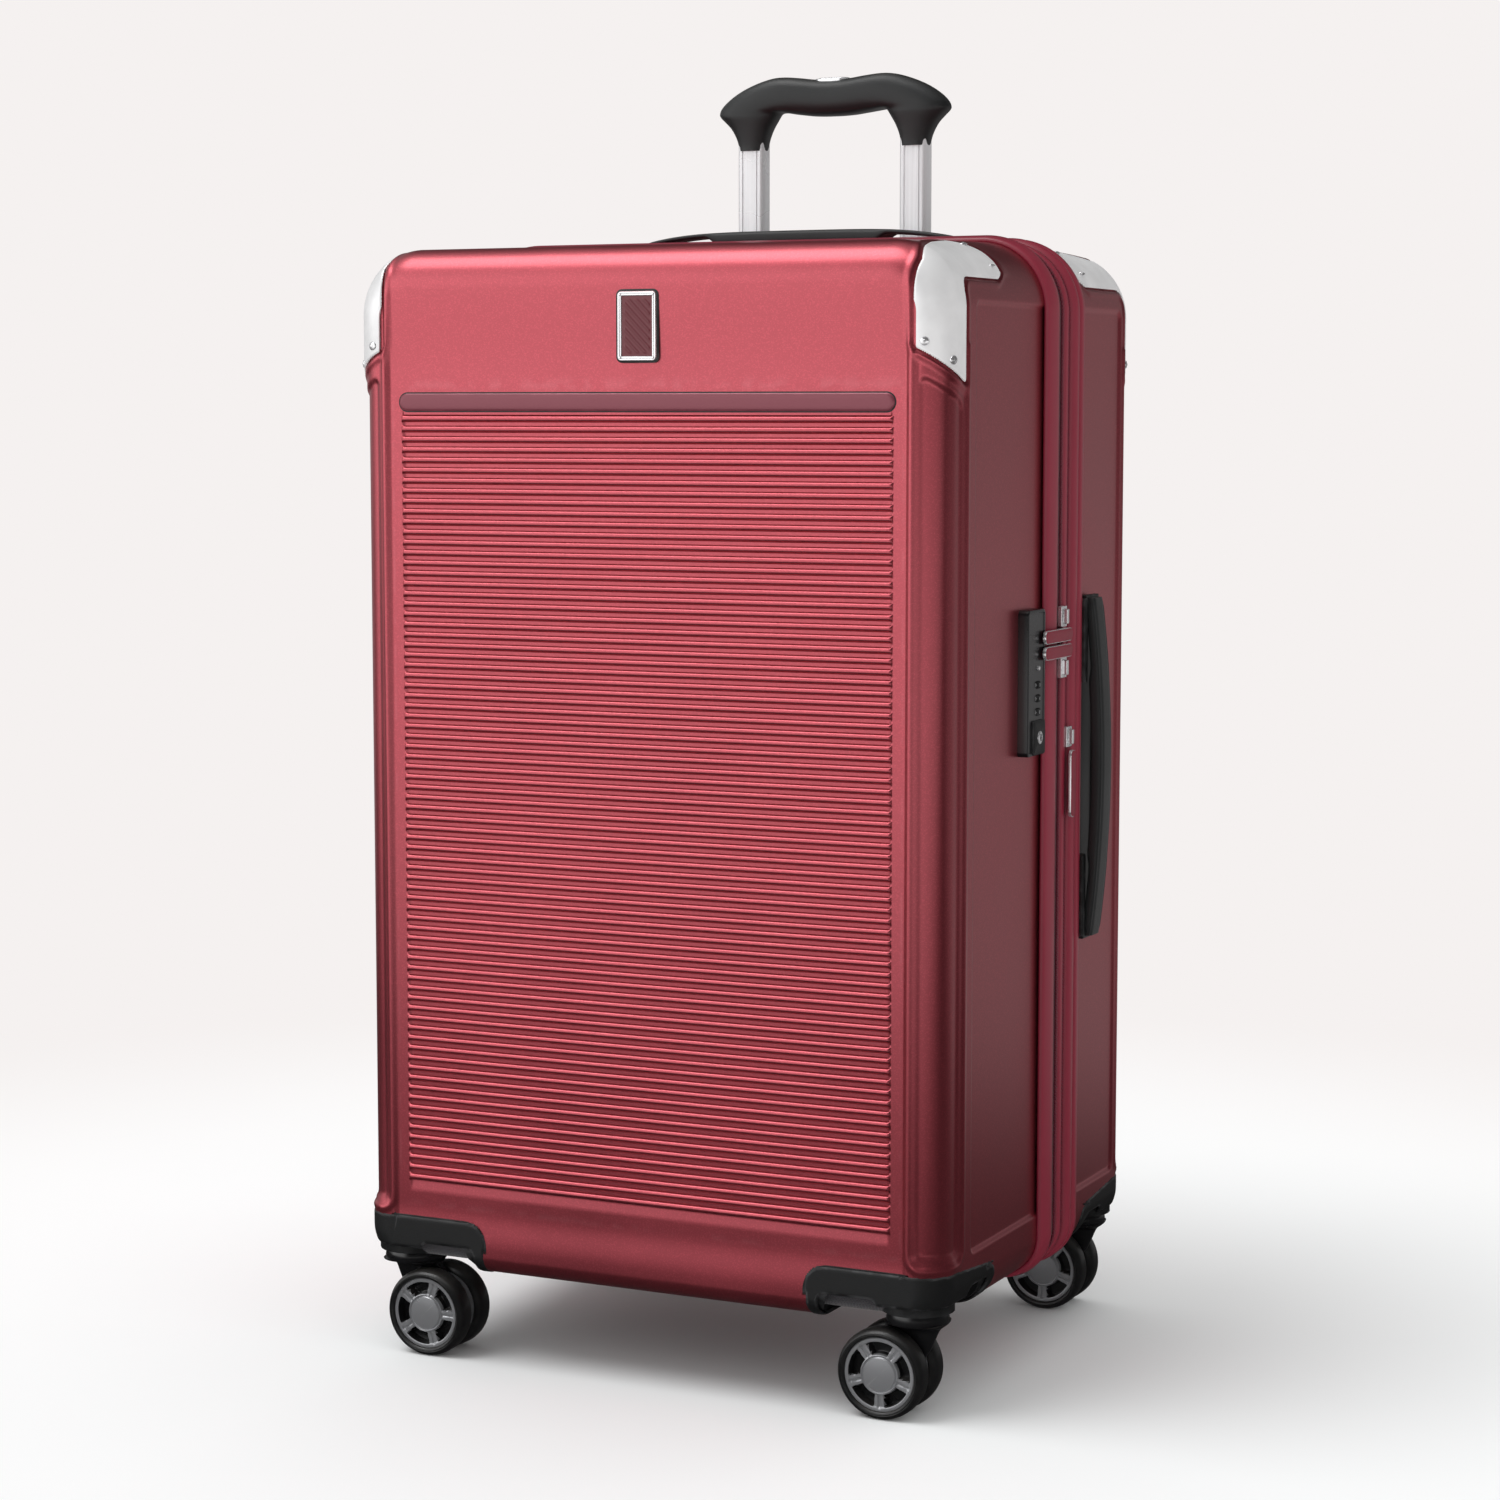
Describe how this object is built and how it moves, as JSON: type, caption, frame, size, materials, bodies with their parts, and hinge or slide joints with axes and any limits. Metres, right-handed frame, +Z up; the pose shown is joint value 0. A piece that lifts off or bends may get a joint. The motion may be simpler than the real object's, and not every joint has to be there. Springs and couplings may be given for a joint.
{
  "type": "wheeled hard-shell suitcase",
  "caption": "Wheeled hard-shell suitcase with a ribbed front, zipped halves, a telescopic handle, metal corner guards and twin-wheel casters.",
  "frame": {"origin": "on the floor under the middle of the bounding box", "axes": "+Z up, -Y towards the ribbed front face, +X towards the side with the lock and the side handle"},
  "size_m": [0.4498, 0.345, 0.8876],
  "materials": {
    "shell_red": "burgundy polycarbonate with a soft metallic sheen and fine horizontal ribs on the front",
    "zip_binding": "soft vinyl roll around both shell rims, dull burgundy",
    "zip_tape": "woven zipper tape and folded gusset cloth, burgundy",
    "lining": "dark grey woven lining cloth",
    "trim_red": "dark rose moulded trim and pull tabs",
    "chrome": "bright plated metal with fine wear",
    "black_plastic": "fine-grained black moulding",
    "grip_rubber": "soft-touch black overmoulding",
    "aluminium": "drawn and anodised aluminium with fine lengthwise grain",
    "caster_grey": "dark grey filled nylon",
    "tyre": "dark grey polyurethane tread, slightly glossy at the shoulders"
  },
  "bodies": {
    "rear_case": {"rear_shell": "shell_red", "rear_lining": "lining", "rear_zip_binding": "zip_binding", "expansion_gusset": "zip_tape", "corner_guard_rear_left": "chrome", "corner_guard_rear_right": "chrome", "caster_housing_rear_left": "black_plastic", "caster_housing_rear_right": "black_plastic", "handle_tube_left": "aluminium", "handle_tube_right": "aluminium", "handle_cup": "black_plastic", "top_handle_foot_left": "black_plastic", "top_handle_foot_right": "black_plastic", "side_handle_foot_upper": "black_plastic", "side_handle_foot_lower": "black_plastic"},
    "expansion_frame": {"expansion_band": "zip_tape", "hinge_strip": "zip_binding"},
    "front_case": {"front_shell": "shell_red", "front_lining": "lining", "front_zip_binding": "zip_binding", "trim_bar": "trim_red", "badge": "chrome", "corner_guard_front_left": "chrome", "corner_guard_front_right": "chrome", "caster_housing_front_left": "black_plastic", "caster_housing_front_right": "black_plastic", "lock_body": "black_plastic"},
    "pull_handle": {"handle_leg_left": "aluminium", "handle_leg_right": "aluminium", "handle_grip": "grip_rubber"},
    "pull_handle_button": {"handle_button": "chrome"},
    "top_carry_handle": {"top_handle": "grip_rubber"},
    "side_carry_handle": {"side_handle": "grip_rubber"},
    "lock_dial_lower": {"lock_dial_1": "black_plastic"},
    "lock_dial_middle": {"lock_dial_2": "black_plastic"},
    "lock_dial_upper": {"lock_dial_3": "black_plastic"},
    "lock_key": {"lock_key_cylinder": "chrome"},
    "lock_reset": {"lock_reset_button": "chrome"},
    "upper_zip_slider": {"main_slider_upper": "chrome"},
    "lower_zip_slider": {"main_slider_lower": "chrome"},
    "expansion_zip_slider": {"expansion_slider": "chrome"},
    "upper_zip_pull": {"main_pull_upper": "trim_red"},
    "lower_zip_pull": {"main_pull_lower": "trim_red"},
    "expansion_zip_pull": {"expansion_pull": "trim_red"},
    "caster_front_left": {"caster_fork_front_left": "caster_grey"},
    "wheel_front_left_front": {"wheel_front_left_front_disc": "tyre"},
    "wheel_front_left_rear": {"wheel_front_left_rear_disc": "tyre"},
    "caster_front_right": {"caster_fork_front_right": "caster_grey"},
    "wheel_front_right_front": {"wheel_front_right_front_disc": "tyre"},
    "wheel_front_right_rear": {"wheel_front_right_rear_disc": "tyre"},
    "caster_rear_left": {"caster_fork_rear_left": "caster_grey"},
    "wheel_rear_left_front": {"wheel_rear_left_front_disc": "tyre"},
    "wheel_rear_left_rear": {"wheel_rear_left_rear_disc": "tyre"},
    "caster_rear_right": {"caster_fork_rear_right": "caster_grey"},
    "wheel_rear_right_front": {"wheel_rear_right_front_disc": "tyre"},
    "wheel_rear_right_rear": {"wheel_rear_right_rear_disc": "tyre"}
  },
  "joints": [
    {"name": "expansion_slide", "type": "slide", "parent": "rear_case", "child": "expansion_frame", "axis": [0, -1, 0], "range_m": [0, 0.05]},
    {"name": "lid_hinge", "type": "hinge", "parent": "expansion_frame", "child": "front_case", "pos_m": [-0.22591, 0.024, 0.4], "axis": [0, 0, -1], "range_deg": [0, 165]},
    {"name": "pull_handle_slide", "type": "slide", "parent": "rear_case", "child": "pull_handle", "axis": [0, 0, 1], "range_m": [-0.125, 0.2]},
    {"name": "pull_handle_button_press", "type": "slide", "parent": "pull_handle", "child": "pull_handle_button", "axis": [0, 0, -1], "range_m": [0, 0.003], "stiffness_N_per_m": 400, "springref_m": -0.001},
    {"name": "top_handle_lift", "type": "slide", "parent": "rear_case", "child": "top_carry_handle", "axis": [0, 0, 1], "range_m": [0, 0.015]},
    {"name": "side_handle_lift", "type": "slide", "parent": "rear_case", "child": "side_carry_handle", "axis": [1, 0, 0], "range_m": [0, 0.015]},
    {"name": "lock_dial_lower_turn", "type": "hinge", "parent": "front_case", "child": "lock_dial_lower", "pos_m": [0.21189, -0.0265, 0.449], "axis": [0, 0, 1], "continuous": true},
    {"name": "lock_dial_middle_turn", "type": "hinge", "parent": "front_case", "child": "lock_dial_middle", "pos_m": [0.21189, -0.0265, 0.458], "axis": [0, 0, 1], "continuous": true},
    {"name": "lock_dial_upper_turn", "type": "hinge", "parent": "front_case", "child": "lock_dial_upper", "pos_m": [0.21189, -0.0265, 0.467], "axis": [0, 0, 1], "continuous": true},
    {"name": "lock_key_turn", "type": "hinge", "parent": "front_case", "child": "lock_key", "pos_m": [0.21809, -0.0265, 0.432], "axis": [1, 0, 0], "range_deg": [0, 90]},
    {"name": "lock_reset_press", "type": "slide", "parent": "front_case", "child": "lock_reset", "axis": [-1, 0, 0], "range_m": [0, 0.001], "stiffness_N_per_m": 300, "springref_m": -0.001},
    {"name": "upper_zip_slider_run", "type": "slide", "parent": "expansion_frame", "child": "upper_zip_slider", "axis": [0, 0, 1], "range_m": [0, 0.18]},
    {"name": "lower_zip_slider_run", "type": "slide", "parent": "expansion_frame", "child": "lower_zip_slider", "axis": [0, 0, -1], "range_m": [0, 0.36]},
    {"name": "expansion_zip_slider_run", "type": "slide", "parent": "rear_case", "child": "expansion_zip_slider", "axis": [0, 0, 1], "range_m": [-0.3, 0.25]},
    {"name": "upper_zip_pull_turn", "type": "hinge", "parent": "upper_zip_slider", "child": "upper_zip_pull", "pos_m": [0.22039, 0.024, 0.4976], "axis": [0, 0, 1], "range_deg": [0, 150]},
    {"name": "lower_zip_pull_turn", "type": "hinge", "parent": "lower_zip_slider", "child": "lower_zip_pull", "pos_m": [0.22039, 0.024, 0.4869], "axis": [0, 0, 1], "range_deg": [0, 150]},
    {"name": "expansion_zip_pull_lift", "type": "hinge", "parent": "expansion_zip_slider", "child": "expansion_zip_pull", "pos_m": [0.21939, 0.036, 0.416], "axis": [0, -1, 0], "range_deg": [0, 150]},
    {"name": "caster_front_left_swivel", "type": "hinge", "parent": "front_case", "child": "caster_front_left", "pos_m": [-0.19291, -0.148, 0.07], "axis": [0, 0, 1], "continuous": true},
    {"name": "wheel_front_left_front_spin", "type": "hinge", "parent": "caster_front_left", "child": "wheel_front_left_front", "pos_m": [-0.17391, -0.1605, 0.02974], "axis": [0, 1, 0], "continuous": true},
    {"name": "wheel_front_left_rear_spin", "type": "hinge", "parent": "caster_front_left", "child": "wheel_front_left_rear", "pos_m": [-0.17391, -0.1355, 0.02974], "axis": [0, 1, 0], "continuous": true},
    {"name": "caster_front_right_swivel", "type": "hinge", "parent": "front_case", "child": "caster_front_right", "pos_m": [0.18509, -0.148, 0.07], "axis": [0, 0, 1], "continuous": true},
    {"name": "wheel_front_right_front_spin", "type": "hinge", "parent": "caster_front_right", "child": "wheel_front_right_front", "pos_m": [0.16609, -0.1605, 0.02974], "axis": [0, 1, 0], "continuous": true},
    {"name": "wheel_front_right_rear_spin", "type": "hinge", "parent": "caster_front_right", "child": "wheel_front_right_rear", "pos_m": [0.16609, -0.1355, 0.02974], "axis": [0, 1, 0], "continuous": true},
    {"name": "caster_rear_left_swivel", "type": "hinge", "parent": "rear_case", "child": "caster_rear_left", "pos_m": [-0.19291, 0.148, 0.07], "axis": [0, 0, 1], "continuous": true},
    {"name": "wheel_rear_left_front_spin", "type": "hinge", "parent": "caster_rear_left", "child": "wheel_rear_left_front", "pos_m": [-0.17391, 0.1355, 0.02974], "axis": [0, 1, 0], "continuous": true},
    {"name": "wheel_rear_left_rear_spin", "type": "hinge", "parent": "caster_rear_left", "child": "wheel_rear_left_rear", "pos_m": [-0.17391, 0.1605, 0.02974], "axis": [0, 1, 0], "continuous": true},
    {"name": "caster_rear_right_swivel", "type": "hinge", "parent": "rear_case", "child": "caster_rear_right", "pos_m": [0.18509, 0.148, 0.07], "axis": [0, 0, 1], "continuous": true},
    {"name": "wheel_rear_right_front_spin", "type": "hinge", "parent": "caster_rear_right", "child": "wheel_rear_right_front", "pos_m": [0.16609, 0.1355, 0.02974], "axis": [0, 1, 0], "continuous": true},
    {"name": "wheel_rear_right_rear_spin", "type": "hinge", "parent": "caster_rear_right", "child": "wheel_rear_right_rear", "pos_m": [0.16609, 0.1605, 0.02974], "axis": [0, 1, 0], "continuous": true}
  ]
}
